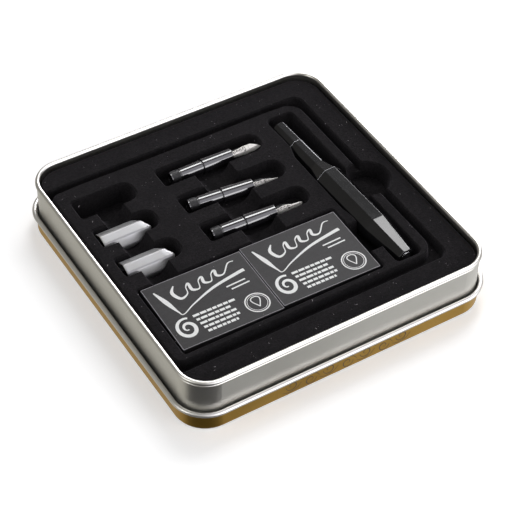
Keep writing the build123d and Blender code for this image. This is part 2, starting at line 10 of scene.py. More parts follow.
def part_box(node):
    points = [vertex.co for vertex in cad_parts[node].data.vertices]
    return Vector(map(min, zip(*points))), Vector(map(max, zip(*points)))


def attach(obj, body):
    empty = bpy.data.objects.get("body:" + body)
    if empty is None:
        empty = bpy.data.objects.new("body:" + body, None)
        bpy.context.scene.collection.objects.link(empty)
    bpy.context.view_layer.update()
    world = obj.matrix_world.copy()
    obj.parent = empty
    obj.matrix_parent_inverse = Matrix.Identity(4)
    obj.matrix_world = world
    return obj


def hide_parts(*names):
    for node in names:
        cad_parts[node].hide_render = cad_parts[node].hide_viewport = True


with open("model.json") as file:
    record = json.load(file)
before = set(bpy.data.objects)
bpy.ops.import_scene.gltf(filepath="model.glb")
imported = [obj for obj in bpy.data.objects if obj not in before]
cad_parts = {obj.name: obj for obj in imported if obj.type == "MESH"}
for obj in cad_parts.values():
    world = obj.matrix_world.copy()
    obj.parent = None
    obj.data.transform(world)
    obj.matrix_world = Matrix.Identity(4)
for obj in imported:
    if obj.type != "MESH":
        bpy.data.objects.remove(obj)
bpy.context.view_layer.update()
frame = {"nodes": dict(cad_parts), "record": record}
scene = bpy.context.scene
scene.view_settings.view_transform = "Standard"


# ---------------------------------------------------------------- camera
# Fitted to the rim of the tin in the photograph; angles in degrees, lengths in metres
VIEW_AZIMUTH = -32.7505
VIEW_ELEVATION = 45.5688
VIEW_ROLL = 1.6728
VIEW_TARGET = (-0.01371, -0.02327, 0.0296)
VIEW_DISTANCE = 0.7594
FOCAL_PIXELS = 1728.2255
PHOTO_PIXELS = 512
SENSOR_WIDTH = 36


def make_camera():
    """Camera at the photograph's viewpoint."""
    azimuth, elevation = math.radians(VIEW_AZIMUTH), math.radians(VIEW_ELEVATION)
    roll = math.radians(VIEW_ROLL)
    target = Vector(VIEW_TARGET)
    back = Vector((math.sin(azimuth) * math.cos(elevation), -math.cos(azimuth) * math.cos(elevation),
                   math.sin(elevation)))
    right = Vector((math.cos(azimuth), math.sin(azimuth), 0))
    up = back.cross(right)
    c, s = math.cos(roll), math.sin(roll)
    turned_right = right * c + up * s
    turned_up = up * c - right * s
    data = bpy.data.cameras.new("photo_camera")
    data.sensor_width = SENSOR_WIDTH
    data.lens = FOCAL_PIXELS * SENSOR_WIDTH / PHOTO_PIXELS
    data.clip_start = 0.01
    camera = bpy.data.objects.new("photo_camera", data)
    axes = Matrix((turned_right, turned_up, back)).transposed().to_4x4()
    camera.matrix_world = Matrix.Translation(target + back * VIEW_DISTANCE) @ axes
    scene.collection.objects.link(camera)
    scene.camera = camera


make_camera()


# ---------------------------------------------------------------- node helpers
def material(name):
    """Empty node material with its Principled shader."""
    mat = bpy.data.materials.new(name)
    mat.use_nodes = True
    return mat, mat.node_tree, mat.node_tree.nodes["Principled BSDF"]


def node(tree, kind, **inputs):
    """Shader node with plain input values; underscores stand for spaces."""
    item = tree.nodes.new(kind)
    for key, value in inputs.items():
        item.inputs[key.replace("_", " ")].default_value = value
    return item


def noise(tree, vector, scale, detail, rough=0.5):
    """Cloudy noise from 0 to 1; scale is about the number of waves to the metre."""
    item = node(tree, "ShaderNodeTexNoise", Scale=scale, Detail=detail, Roughness=rough)
    tree.links.new(vector, item.inputs["Vector"])
    return item.outputs["Fac"]


def ramp(tree, value, *stops):
    """Colour ramp; a stop is (position, grey or colour)."""
    item = tree.nodes.new("ShaderNodeValToRGB")
    elements = item.color_ramp.elements
    while len(elements) < len(stops):
        elements.new(0.5)
    for element, (position, colour) in zip(elements, stops):
        element.position = position
        if isinstance(colour, (int, float)):
            colour = (colour, colour, colour)
        element.color = (*colour, 1)
    tree.links.new(value, item.inputs["Fac"])
    return item.outputs["Color"]


def mix(tree, factor, first, second, blend="MIX"):
    """Mix of two colours, each a socket or plain colour."""
    item = tree.nodes.new("ShaderNodeMix")
    item.data_type = "RGBA"
    item.blend_type = blend
    for socket, value in ((item.inputs[0], factor), (item.inputs[6], first), (item.inputs[7], second)):
        if isinstance(value, bpy.types.NodeSocket):
            tree.links.new(value, socket)
        elif isinstance(value, (int, float)):
            socket.default_value = value
        else:
            socket.default_value = (*value, 1)
    return item.outputs[2]


def bump(tree, shader, height, strength, distance, soft_edge=0.0):
    """Surface relief, and edges that catch light as if rounded by soft_edge metres."""
    item = node(tree, "ShaderNodeBump", Strength=strength, Distance=distance)
    tree.links.new(height, item.inputs["Height"])
    if soft_edge > 0:
        edge = node(tree, "ShaderNodeBevel", Radius=soft_edge)
        edge.samples = 6
        tree.links.new(edge.outputs["Normal"], item.inputs["Normal"])
    tree.links.new(item.outputs["Normal"], shader.inputs["Normal"])


def math_node(tree, operation, first, second=0.0, third=0.0):
    """Math on sockets or plain numbers."""
    item = tree.nodes.new("ShaderNodeMath")
    item.operation = operation
    for socket, value in zip(item.inputs, (first, second, third)):
        if isinstance(value, bpy.types.NodeSocket):
            tree.links.new(value, socket)
        else:
            socket.default_value = value
    return item.outputs[0]


def place(tree, scale=(1, 1, 1)):
    """Object coordinates in metres, which stay with the piece."""
    coords = tree.nodes.new("ShaderNodeTexCoord")
    mapping = tree.nodes.new("ShaderNodeMapping")
    mapping.inputs["Scale"].default_value = scale
    tree.links.new(coords.outputs["Object"], mapping.inputs["Vector"])
    return mapping.outputs["Vector"]


# ---------------------------------------------------------------- materials
# The lid, which stands upturned: where the centres of its corners lie, how far its outer face reaches
# past them, the height where the turned-over roll starts, and the top of the underside's skin
CORNER_CENTRE = 0.0630
OUTER_REACH = 0.01465
ROLL_START = 0.00975
UNDERSIDE_TOP = 0.0002


def gold_lacquer():
    """Gold on the outside only: the turned-over roll and the inside are bare silver."""
    mat, tree, shader = material("gold_lacquer")
    at = place(tree)
    clouds = noise(tree, at, 28, 4)
    grain = noise(tree, place(tree, (1, 1, 6)), 900, 2)
    base = ramp(tree, clouds, (0.3, (0.43, 0.245, 0.034)), (0.7, (0.54, 0.325, 0.060)))
    lacquer = mix(tree, 0.12, base, ramp(tree, grain, (0.3, 0.2), (0.7, 0.8)), "OVERLAY")
    split = tree.nodes.new("ShaderNodeSeparateXYZ")
    tree.links.new(at, split.inputs[0])
    squares = []
    for axis in (0, 1):
        from_middle = math_node(tree, "ABSOLUTE", split.outputs[axis])
        past_centre = math_node(tree, "SUBTRACT", from_middle, CORNER_CENTRE)
        past_centre = math_node(tree, "MAXIMUM", past_centre, 0.0)
        squares.append(math_node(tree, "MULTIPLY", past_centre, past_centre))
    reach = math_node(tree, "SQRT", math_node(tree, "ADD", *squares))
    outside = math_node(tree, "GREATER_THAN", reach, OUTER_REACH)
    underside = math_node(tree, "LESS_THAN", split.outputs[2], UNDERSIDE_TOP)
    below_roll = math_node(tree, "LESS_THAN", split.outputs[2], ROLL_START)
    wall = math_node(tree, "MULTIPLY", outside, below_roll)
    gold = math_node(tree, "MAXIMUM", wall, underside)
    tree.links.new(mix(tree, gold, (0.74, 0.73, 0.70), lacquer), shader.inputs["Base Color"])
    shader.inputs["Metallic"].default_value = 0.92
    tree.links.new(ramp(tree, clouds, (0.2, 0.34), (0.8, 0.46)), shader.inputs["Roughness"])
    shader.inputs["Coat Weight"].default_value = 0.06
    shader.inputs["Coat Roughness"].default_value = 0.18
    bump(tree, shader, grain, 0.12, 0.0001)
    return mat


def tinplate():
    """Bare silver tinplate with a fine rolled grain."""
    mat, tree, shader = material("tinplate")
    at = place(tree)
    clouds = noise(tree, at, 22, 4)
    grain = noise(tree, at, 2600, 2)
    base = ramp(tree, clouds, (0.3, (0.60, 0.59, 0.55)), (0.7, (0.68, 0.67, 0.63)))
    tree.links.new(base, shader.inputs["Base Color"])
    shader.inputs["Metallic"].default_value = 0.93
    tree.links.new(ramp(tree, clouds, (0.2, 0.28), (0.8, 0.35)), shader.inputs["Roughness"])
    bump(tree, shader, grain, 0.25, 0.00005)
    return mat


def flock():
    """Black flock: patchy fuzz with a few pale dots."""
    mat, tree, shader = material("flock")
    at = place(tree)
    fibres = noise(tree, at, 1050, 4, 0.75)
    patches = noise(tree, at, 120, 5, 0.65)
    lint = node(tree, "ShaderNodeTexVoronoi", Scale=330.0)
    tree.links.new(at, lint.inputs["Vector"])
    seldom = noise(tree, at, 300, 1)
    body = ramp(tree, patches, (0.3, (0.0036, 0.0031, 0.0034)), (0.72, (0.0085, 0.0074, 0.0081)))
    fuzz = mix(tree, 0.85, body, ramp(tree, fibres, (0.38, 0.03), (0.66, 1.0)), "OVERLAY")
    dots = math_node(tree, "MULTIPLY", ramp(tree, lint.outputs["Distance"], (0.05, 1), (0.1, 0)),
                     ramp(tree, seldom, (0.57, 0), (0.64, 1)))
    tree.links.new(mix(tree, dots, fuzz, (0.22, 0.20, 0.22)), shader.inputs["Base Color"])
    shader.inputs["Roughness"].default_value = 0.95
    shader.inputs["Specular IOR Level"].default_value = 0.15
    shader.inputs["Sheen Weight"].default_value = 0.09
    shader.inputs["Sheen Roughness"].default_value = 0.5
    shader.inputs["Sheen Tint"].default_value = (0.75, 0.7, 0.8, 1)
    bump(tree, shader, fibres, 0.7, 0.0003)
    return mat


def gloss_black(name, colour, roughness, ripple, index=1.52, coat=0.0):
    """Moulded glossy plastic with faint flow marks and handling haze."""
    mat, tree, shader = material(name)
    at = place(tree)
    haze = noise(tree, at, 90, 5)
    tree.links.new(mix(tree, ramp(tree, haze, (0.35, 0), (0.75, 1)), colour,
                       tuple(1.6 * v for v in colour)), shader.inputs["Base Color"])
    tree.links.new(ramp(tree, haze, (0.3, roughness), (0.8, roughness + 0.07)),
                   shader.inputs["Roughness"])
    shader.inputs["IOR"].default_value = index
    shader.inputs["Coat Weight"].default_value = coat
    shader.inputs["Coat Roughness"].default_value = 0.05
    bump(tree, shader, noise(tree, at, 420, 2), ripple, 0.0001, 0.00034)
    return mat


def bright_metal(name, colour, roughness, edge, mirror=1.0):
    """Plated or polished metal with hairlines; mirror below 1 is a milky satin."""
    mat, tree, shader = material(name)
    lines = noise(tree, place(tree, (60, 900, 900)), 3, 3)
    haze = noise(tree, place(tree), 160, 4)
    tree.links.new(mix(tree, ramp(tree, haze, (0.4, 0), (0.8, 0.6)), colour, edge),
                   shader.inputs["Base Color"])
    shader.inputs["Metallic"].default_value = mirror
    tree.links.new(ramp(tree, haze, (0.3, roughness), (0.8, roughness + 0.08)),
                   shader.inputs["Roughness"])
    bump(tree, shader, lines, 0.02, 0.0001, 0.0002)
    return mat


def matt_black(name, colour):
    """Matt moulded plastic with a fine grain."""
    mat, tree, shader = material(name)
    grain = noise(tree, place(tree), 1500, 2)
    tree.links.new(mix(tree, ramp(tree, grain, (0.4, 0), (0.7, 1)), colour,
                       tuple(1.8 * v for v in colour)), shader.inputs["Base Color"])
    shader.inputs["Roughness"].default_value = 0.5
    bump(tree, shader, grain, 0.2, 0.0001)
    return mat


def printed_card():
    """Dark printed card: fine paper tooth, faint rub marks and lighter worn patches."""
    mat, tree, shader = material("carton_card")
    at = place(tree)
    tooth = noise(tree, at, 1800, 3)
    rub = noise(tree, place(tree, (1, 3, 1)), 110, 5, 0.7)
    body = ramp(tree, rub, (0.35, (0.012, 0.011, 0.012)), (0.8, (0.026, 0.0245, 0.026)))
    tree.links.new(mix(tree, 0.35, body, ramp(tree, tooth, (0.3, 0.2), (0.7, 0.8)), "OVERLAY"),
                   shader.inputs["Base Color"])
    tree.links.new(ramp(tree, rub, (0.3, 0.42), (0.8, 0.55)), shader.inputs["Roughness"])
    shader.inputs["Specular IOR Level"].default_value = 0.25
    bump(tree, shader, tooth, 0.25, 0.0001, 0.0003)
    return mat


def print_and_painted_highlight(name, colour):
    """Opaque print with a little broken ink; the same flat colour also draws the painted highlight
    lines.
    """
    mat, tree, shader = material(name)
    at = place(tree)
    worn = noise(tree, at, 1500, 4, 0.7)
    tree.links.new(mix(tree, ramp(tree, worn, (0.55, 0), (0.8, 0.5)), colour,
                       tuple(0.55 * v for v in colour)), shader.inputs["Base Color"])
    shader.inputs["Roughness"].default_value = 0.5
    bump(tree, shader, worn, 0.1, 0.00005)
    return mat


MATERIALS = {
    "gold_lacquer": gold_lacquer(),
    "tinplate": tinplate(),
    "flock": flock(),
    "pen_black": gloss_black("pen_black", (0.006, 0.006, 0.0065), 0.12, 0.03),
    "liner_plastic": matt_black("liner_plastic", (0.03, 0.03, 0.032)),
    "polished_steel": bright_metal("polished_steel", (0.85, 0.85, 0.86), 0.08, (0.7, 0.7, 0.72)),
    "grip_black": gloss_black("grip_black", (0.008, 0.0075, 0.009), 0.1, 0.04, 1.8, 0.8),
    "feed_black": matt_black("feed_black", (0.012, 0.012, 0.013)),
    "nib_steel": bright_metal("nib_steel", (0.86, 0.84, 0.80), 0.24, (0.78, 0.75, 0.69), 0.25),
    "clip_chrome": bright_metal("clip_chrome", (0.34, 0.34, 0.35), 0.34, (0.31, 0.30, 0.28), 0.42),
    "carton_card": printed_card(),
    "cartridge_plastic": gloss_black("cartridge_plastic", (0.01, 0.012, 0.03), 0.15, 0.02),
    # yellowish colour for the clips' cut edges: a painted reflection of the gold lid
    "painted_gold_reflection": bright_metal("painted_gold_reflection", (0.62, 0.54, 0.36), 0.3, (0.5, 0.42, 0.26)),
}
# Flat colours: prints, and two painted highlights (the pen's edge hairlines and the cartons' fold
# lines)
PRINTS_AND_PAINTED_HIGHLIGHTS = {
    "engraving": (0.07, 0.06, 0.055),
    "chased_field": (0.42, 0.38, 0.34),
    # pale grey of the pen's edge hairlines: a painted highlight
    "painted_edge_highlight": (0.74, 0.74, 0.78),
    "carton_print": (0.80, 0.80, 0.79),
    # grey of the lines round the cartons' top edges: a painted highlight on the folds
    "painted_fold_highlight": (0.24, 0.23, 0.25),
    "scroll_print": (0.13, 0.075, 0.025),
    "lint": (0.36, 0.33, 0.35),
}
for mark_name, mark_colour in PRINTS_AND_PAINTED_HIGHLIGHTS.items():
    MATERIALS[mark_name] = print_and_painted_highlight(mark_name, mark_colour)

for entry in frame["record"]["subparts"]:
    piece = frame["nodes"][entry["node"]]
    piece.data.materials.clear()
    piece.data.materials.append(MATERIALS[entry["material_slot"]])


# ---------------------------------------------------------------- fine detail
MM = 0.001
# Spare front units: middle of the shoulder in X and Y, heading and roll in degrees
NIB_UNITS = {
    "nib_unit_1": ((-0.0013, 0.0452), 0.0, 53.0),
    "nib_unit_2": ((-0.0034, 0.0237), -5.0, 52.0),
    "nib_unit_3": ((-0.0036, 0.0030), -2.4, 60.0),
}
# Height of their axes, and the shoulder and the grip's mouth as distances from the rear end
UNIT_AXIS_Z = 0.02285
SHOULDER = 0.0170
MOUTH = 0.0326


def piece_from(name, verts, faces, mat, body, smooth=True):
    """Mesh piece that rides on a body."""
    mesh = bpy.data.meshes.new(name)
    mesh.from_pydata([tuple(v) for v in verts], [], faces)
    mesh.update()
    for polygon in mesh.polygons:
        polygon.use_smooth = smooth
    mesh.materials.append(mat)
    item = bpy.data.objects.new(name, mesh)
    scene.collection.objects.link(item)
    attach(item, body)
    return item


def grid_faces(rows, wide, closed=False):
    """Faces of a grid of rows + 1 lines, each of wide points; closed lines join end to end."""
    faces = []
    for row in range(rows):
        for k in range(wide if closed else wide - 1):
            a, b = row * wide + k, row * wide + (k + 1) % wide
            faces.append((a, b, b + wide, a + wide))
    return faces


def thicken(item, thickness, offset):
    """Give a sheet its thickness; offset 1 is along the normals and -1 against them."""
    sheet = item.modifiers.new("sheet", "SOLIDIFY")
    sheet.thickness = thickness
    sheet.offset = offset
    sheet.use_even_offset = True
    return sheet


def unit_space(middle, turn, roll):
    """Matrix from a unit's own frame (X along its axis from the rear, Z to the nib's crown)."""
    heading = math.radians(turn)
    along = Vector((math.cos(heading), math.sin(heading), 0))
    rear = Vector((middle[0], middle[1], UNIT_AXIS_Z)) - along * SHOULDER
    return (Matrix.Translation(rear) @ Matrix.Rotation(heading, 4, "Z")
            @ Matrix.Rotation(math.radians(roll), 4, "X"))


def thread(name, space, body):
    """Rolled thread on the rear sleeve of a nib unit."""
    around, steps = 48, 90
    start, end, pitch = 0.0004, 0.0047, 0.00055
    core, depth = 0.00300, 0.00011
    verts = []
    for i in range(steps + 1):
        x = start + (end - start) * i / steps
        fade = min(1.0, 6 * min(i, steps - i) / steps)
        for k in range(around):
            turn = 2 * math.pi * k / around
            phase = ((x - start) / pitch + k / around) % 1.0
            ridge = 1 - abs(2 * phase - 1)
            radius = core + depth * fade * min(1.0, 1.5 * ridge)
            verts.append(space @ Vector((x, radius * math.sin(turn), radius * math.cos(turn))))
    piece_from(name, verts, grid_faces(steps, around, True), MATERIALS["feed_black"], body)


def stroke(points, widths, to_surface):
    """Flat ribbon along points (pairs) with a width at each, mapped on to a surface."""
    verts, faces = [], []
    for i, (point, width) in enumerate(zip(points, widths)):
        before = points[max(i - 1, 0)]
        after = points[min(i + 1, len(points) - 1)]
        dx, dy = after[0] - before[0], after[1] - before[1]
        length = math.hypot(dx, dy) or 1.0
        nx, ny = -dy / length * width / 2, dx / length * width / 2
        verts.append(to_surface(point[0] + nx, point[1] + ny))
        verts.append(to_surface(point[0] - nx, point[1] - ny))
    for i in range(len(points) - 1):
        faces.append((2 * i, 2 * i + 1, 2 * i + 3, 2 * i + 2))
    return verts, faces


def stroke_mm(points, widths, to_surface):
    """Ribbon whose points and widths are in millimetres."""
    return stroke([(x * MM, y * MM) for x, y in points], [w * MM for w in widths], to_surface)


def join_strokes(strokes):
    """Points and faces of many ribbons as one mesh."""
    verts, faces = [], []
    for part_verts, part_faces in strokes:
        base = len(verts)
        verts += part_verts
        faces += [tuple(base + k for k in face) for face in part_faces]
    return verts, faces


def spiral(cx, cy, size, turns, start, hand, steps, width):
    """Scroll that winds in to its eye, thick in the middle of its run."""
    points, widths = [], []
    for i in range(steps + 1):
        t = i / steps
        angle = start + hand * 2 * math.pi * turns * t
        radius = size * (1 - t) ** 0.8 + size * 0.12
        points.append((cx + radius * math.cos(angle), cy + radius * math.sin(angle)))
        widths.append(width * (0.35 + 1.1 * math.sin(math.pi * min(1, t + 0.1))))
    return points, widths


def curve_points(control, steps):
    """Smooth curve through control points (Catmull-Rom)."""
    result = []
    padded = [control[0]] + list(control) + [control[-1]]
    for i in range(1, len(padded) - 2):
        a, b, c, d = padded[i - 1], padded[i], padded[i + 1], padded[i + 2]
        for k in range(steps):
            t = k / steps
            result.append(tuple(
                0.5 * (2 * b[j] + (c[j] - a[j]) * t
                       + (2 * a[j] - 5 * b[j] + 4 * c[j] - d[j]) * t * t
                       + (3 * b[j] - a[j] - 3 * c[j] + d[j]) * t ** 3) for j in range(len(b))))
    result.append(tuple(control[-1]))
    return result


def brush(control, steps=24):
    """Stroke of changing width through (x, y, width) points."""
    line = curve_points(control, steps)
    return [p[:2] for p in line], [p[2] for p in line]


# Bare nibs: rows hold the distance from the grip's mouth, the half width and the sheet's bend
# radius, all in millimetres
NIB_SHAPES = {
    "nib_unit_1": [(-2.5, 1.45, 2.58), (0.0, 1.5, 2.58), (3.0, 1.9, 2.9), (7.0, 2.3, 3.5),
                   (10.6, 2.1, 4.0), (12.8, 1.45, 4.4), (14.4, 0.75, 4.4)],
    "nib_unit_2": [(-2.5, 1.45, 2.58), (0.0, 1.5, 2.58), (3.0, 1.25, 2.6), (5.0, 1.45, 2.8),
                   (6.4, 1.05, 3.0), (8.0, 0.85, 3.2), (10.5, 0.45, 3.2), (12.6, 0.12, 3.2)],
    "nib_unit_3": [(-2.5, 1.4, 2.58), (0.0, 1.45, 2.58), (4.6, 1.95, 2.9), (8.7, 1.15, 3.2),
                   (12.2, 0.85, 3.4), (13.3, 0.62, 3.4), (13.7, 0.25, 3.4)],
}
# Spans between rows that are longer than this many millimetres are eased in and out
EASED_SPAN = 2.2
# How far the tip's near corner stands forward, from which share of the length on, and its dip
NIB_SKEW = {"nib_unit_1": 0.0012, "nib_unit_2": 0.0, "nib_unit_3": 0.0}
SKEW_START = 0.55
NIB_DIP = {"nib_unit_1": 0.0, "nib_unit_2": 0.0002, "nib_unit_3": 0.0005}
NIB_RADIUS = 0.00258
NIB_SHEET = 0.0003


def nib_row(unit, v):
    """Half width and bend radius in metres at v metres past the mouth."""
    rows = NIB_SHAPES[unit]
    at = v * 1000
    for first, last in zip(rows, rows[1:]):
        if at <= last[0]:
            t = min(max((at - first[0]) / (last[0] - first[0]), 0), 1)
            t = t * t * (3 - 2 * t) if last[0] - first[0] > EASED_SPAN else t
            return tuple((first[k] + (last[k] - first[k]) * t) / 1000 for k in (1, 2))
    return rows[-1][1] / 1000, rows[-1][2] / 1000


def nib_point(unit, space, u, v, lift=0.0):
    """Point of the nib's outer face; u is the arc from the slit, plus towards the near side."""
    half, bend = nib_row(unit, v)
    length = NIB_SHAPES[unit][-1][0] / 1000
    far = min(max(v / length, 0.0), 1.0)
    crown = NIB_RADIUS - NIB_DIP[unit] * far * far
    angle = u / bend
    skew = NIB_SKEW[unit] * (u / half) * max(0.0, far - SKEW_START) / (1 - SKEW_START)
    radius = bend + lift
    return space @ Vector((MOUTH + v + skew, -radius * math.sin(angle),
                           crown - bend + radius * math.cos(angle)))


def nib(unit, space):
    """Bent steel sheet of the nib, from inside the mouth to its writing tip."""
    rows, columns = 90, 20
    first, last = NIB_SHAPES[unit][0][0] / 1000, NIB_SHAPES[unit][-1][0] / 1000
    verts = []
    for i in range(rows + 1):
        v = first + (last - first) * i / rows
        half = nib_row(unit, v)[0]
        for k in range(columns + 1):
            verts.append(nib_point(unit, space, half * (2 * k / columns - 1), v))
    item = piece_from(f"{unit}_nib_sheet", verts, grid_faces(rows, columns + 1),
                      MATERIALS["nib_steel"], unit)
    thicken(item, NIB_SHEET, -1)
    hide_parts(f"{unit}_nib")


def feed(unit, space):
    """Comb feed that fills the nib from below: collars all round, cut back to a tongue."""
    rows, around = 132, 32
    start, end, taper_start = -0.0030, 0.0094, 0.0040
    core, collar, pitch = 0.00168, 0.00042, 0.00075
    # height of the seat under the nib, and of the tongue that the tip runs out to
    seat, tongue = 0.00222, 0.0019
    verts = []
    for i in range(rows + 1):
        v = start + (end - start) * i / rows
        comb = 0.5 + 0.5 * math.cos(2 * math.pi * v / pitch)
        body = core + collar * min(1.0, max(0.0, 2.4 * comb - 0.7))
        taper = max(0.0, (v - taper_start) / (end - taper_start))
        for k in range(around):
            turn = 2 * math.pi * k / around
            up = math.cos(turn)
            radius = body if up < 0.55 else min(seat, body + 0.0004)
            y = -radius * math.sin(turn) * (1 - 0.55 * taper)
            z = radius * up
            z = z + (tongue - z) * 0.78 * taper ** 1.2
            verts.append(space @ Vector((MOUTH + v, y, z)))
    faces = grid_faces(rows, around, True)
    faces.append(tuple(range(around)))
    faces.append(tuple(rows * around + around - 1 - k for k in range(around)))
    item = piece_from(f"{unit}_feed_comb", verts, faces, MATERIALS["feed_black"], unit,
                      False)
    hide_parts(f"{unit}_feed")


def nib_marks(unit, space):
    """Slit, breather hole, border lines and scrolls chased into the nib's upper face."""
    mark_lift, ground_lift = 0.000012, 0.000006
    border_inset, border_width = 0.00026, 0.00009

    def on_nib(u, v):
        return nib_point(unit, space, u, v, mark_lift)

    def on_ground(u, v):
        return nib_point(unit, space, u, v, ground_lift)

    last = NIB_SHAPES[unit][-1][0] / 1000
    hole = 0.48 * last
    strokes = []
    slit = [(0.0, hole + (last - 0.0001 - hole) * i / 20) for i in range(21)]
    strokes.append(stroke(slit, [0.00016 - 0.00004 * i / 20 for i in range(21)], on_nib))
    # the breather hole is drawn as a thick ring, a little longer than wide
    turns = [2 * math.pi * i / 16 for i in range(17)]
    breather = [(0.00024 * math.cos(turn), hole + 0.00030 * math.sin(turn)) for turn in turns]
    strokes.append(stroke(breather, [0.00034] * len(breather), on_nib))
    for side in (-1, 1):
        border = []
        for i in range(25):
            v = 0.0004 + 0.66 * last * i / 24
            border.append((side * (nib_row(unit, v)[0] - border_inset), v))
        strokes.append(stroke(border, [border_width] * len(border), on_nib))
    for row in range(4):
        v = 0.0011 + 0.125 * row * last
        half = nib_row(unit, v)[0]
        points, widths = spiral(-0.50 * half, v, 0.30 * half, 1.2, 0.4 * math.pi,
                                1 if row % 2 else -1, 18, 0.00026)
        strokes.append(stroke(points, widths, on_nib))
        points, widths = brush([(-0.85 * half, v + 0.0002, 0.00005),
                                (-0.40 * half, v + 0.0009, 0.00022),
                                (-0.08 * half, v + 0.0006, 0.00006)], 6)
        strokes.append(stroke(points, widths, on_nib))
    verts, faces = join_strokes(strokes)
    piece_from(f"{unit}_marks", verts, faces, MATERIALS["engraving"], unit, False)
    # stippled ground between the chased lines
    ground, widths = [], []
    for i in range(31):
        v = 0.0005 + 0.62 * last * i / 30
        half = nib_row(unit, v)[0]
        ground.append((-0.42 * half, v))
        widths.append(0.86 * half * math.sin(math.pi * min(1.0, 0.12 + 0.88 * i / 30)) ** 0.5)
    verts, faces = stroke(ground, widths, on_ground)
    piece_from(f"{unit}_ground", verts, faces, MATERIALS["chased_field"], unit, False)


for unit, (middle, turn, roll) in NIB_UNITS.items():
    space = unit_space(middle, turn, roll)
    thread(f"{unit}_thread", space, unit)
    nib(unit, space)
    feed(unit, space)
    nib_marks(unit, space)


# The slide-on clips: bent sheet with a prow that is drawn out along the crown. Left end in X and
# axis in Y of each
CLIP_ENDS = {"clip_1": (-0.06589, 0.0245), "clip_2": (-0.06539, 0.0038)}
CLIP_LENGTH = 0.0242
CLIP_AXIS_Z = 0.0202
CLIP_HALF = 0.00515
CLIP_ROLL = 17.0
CLIP_SHEET = 0.0005
# The bends are rounded at this many times the half width across the flats
CLIP_BEND = 1.062
# Length near the prow's edge that is drawn in towards the axis, and how far
CLIP_NECK = 0.0030
CLIP_DRAW = 0.0009
# Angle from +Y in the cross-section (degrees) and how far the end stands back from the tip
CLIP_PROW = [(-28.0, 0.0062), (20.0, 0.0052), (51.0, 0.0037), (95.0, 0.0022), (118.0, 0.0007),
             (138.0, 0.0), (152.0, 0.0016), (166.0, 0.0044), (186.0, 0.0068), (212.0, 0.0086),
             (240.0, 0.0096)]


def setback(angle):
    """How far the prow stands back at an angle, straight between the places in CLIP_PROW."""
    for (first, low), (last, high) in zip(CLIP_PROW, CLIP_PROW[1:]):
        if first <= angle <= last:
            t = (angle - first) / (last - first)
            return low + (high - low) * t
    return CLIP_PROW[-1][1]


def slide_on_clip(name, left, middle_y):
    """Octagonal sleeve, open along its underside, with rounded bends and a drawn prow."""
    start, end = CLIP_PROW[0][0], CLIP_PROW[-1][0]
    columns, rows = 134, 26
    angles = [start + (end - start) * k / columns for k in range(columns + 1)]
    # the prow's corners are rounded by averaging over 18 degrees
    spread = [sum(setback(min(max(a + d, start), end)) for d in (-9, -6, -3, 0, 3, 6, 9)) / 7
              for a in angles]
    verts = []
    for row in range(rows + 1):
        t = row / rows
        for angle, back in zip(angles, spread):
            off = (angle - CLIP_ROLL - 90 + 22.5) % 45 - 22.5
            flat = CLIP_HALF / math.cos(math.radians(off))
            radius = min(flat, CLIP_HALF * CLIP_BEND)
            reach = (CLIP_LENGTH - back) * t
            in_neck = max(0.0, 1 - (CLIP_LENGTH - back - reach) / CLIP_NECK)
            radius -= CLIP_DRAW * in_neck ** 2.2
            turn = math.radians(angle)
            verts.append(Vector((left + reach, middle_y + radius * math.cos(turn),
                                 CLIP_AXIS_Z + radius * math.sin(turn))))
    item = piece_from(f"{name}_sleeve", verts, grid_faces(rows, columns + 1),
                      MATERIALS["clip_chrome"], f"{name}_body")
    sheet = thicken(item, CLIP_SHEET, 1)
    # the sheet's cut edges along the rim get a yellowish colour, a painted reflection of the gold lid
    sheet.material_offset_rim = 1
    item.data.materials.append(MATERIALS["painted_gold_reflection"])
    edge = item.modifiers.new("edge", "BEVEL")
    edge.width = 0.00012
    edge.segments = 2
    edge.limit_method = "ANGLE"
    edge.angle_limit = math.radians(50)
    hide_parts(name)


for clip, (left, middle_y) in CLIP_ENDS.items():
    slide_on_clip(clip, left, middle_y)


# Painted highlights on the pen: pale hairlines drawn on both faces of an edge, where light glints off
# it. PEN_END is the closed end of the cap in X and Y, and lengths run from there to the far end of the
# barrel.
# Halves are of the width across the flats
PEN_END = (0.046986, -0.0525)
PEN_HEADING = 91.7
CAP_LENGTH = 0.0605
FLARE_LENGTH = 0.0082
BARREL_LENGTH = 0.0256
BARREL_HALF = 0.00425
PLUG_LENGTH = 0.0156
PLUG_HALF = 0.00385
# Rings are drawn larger than the facets by this factor
EDGE_LIFT = 1.0001
RING_WIDTH = 0.00012
ARRIS_WIDTH = 0.00026
PLUG_ARRIS_WIDTH = 0.00012


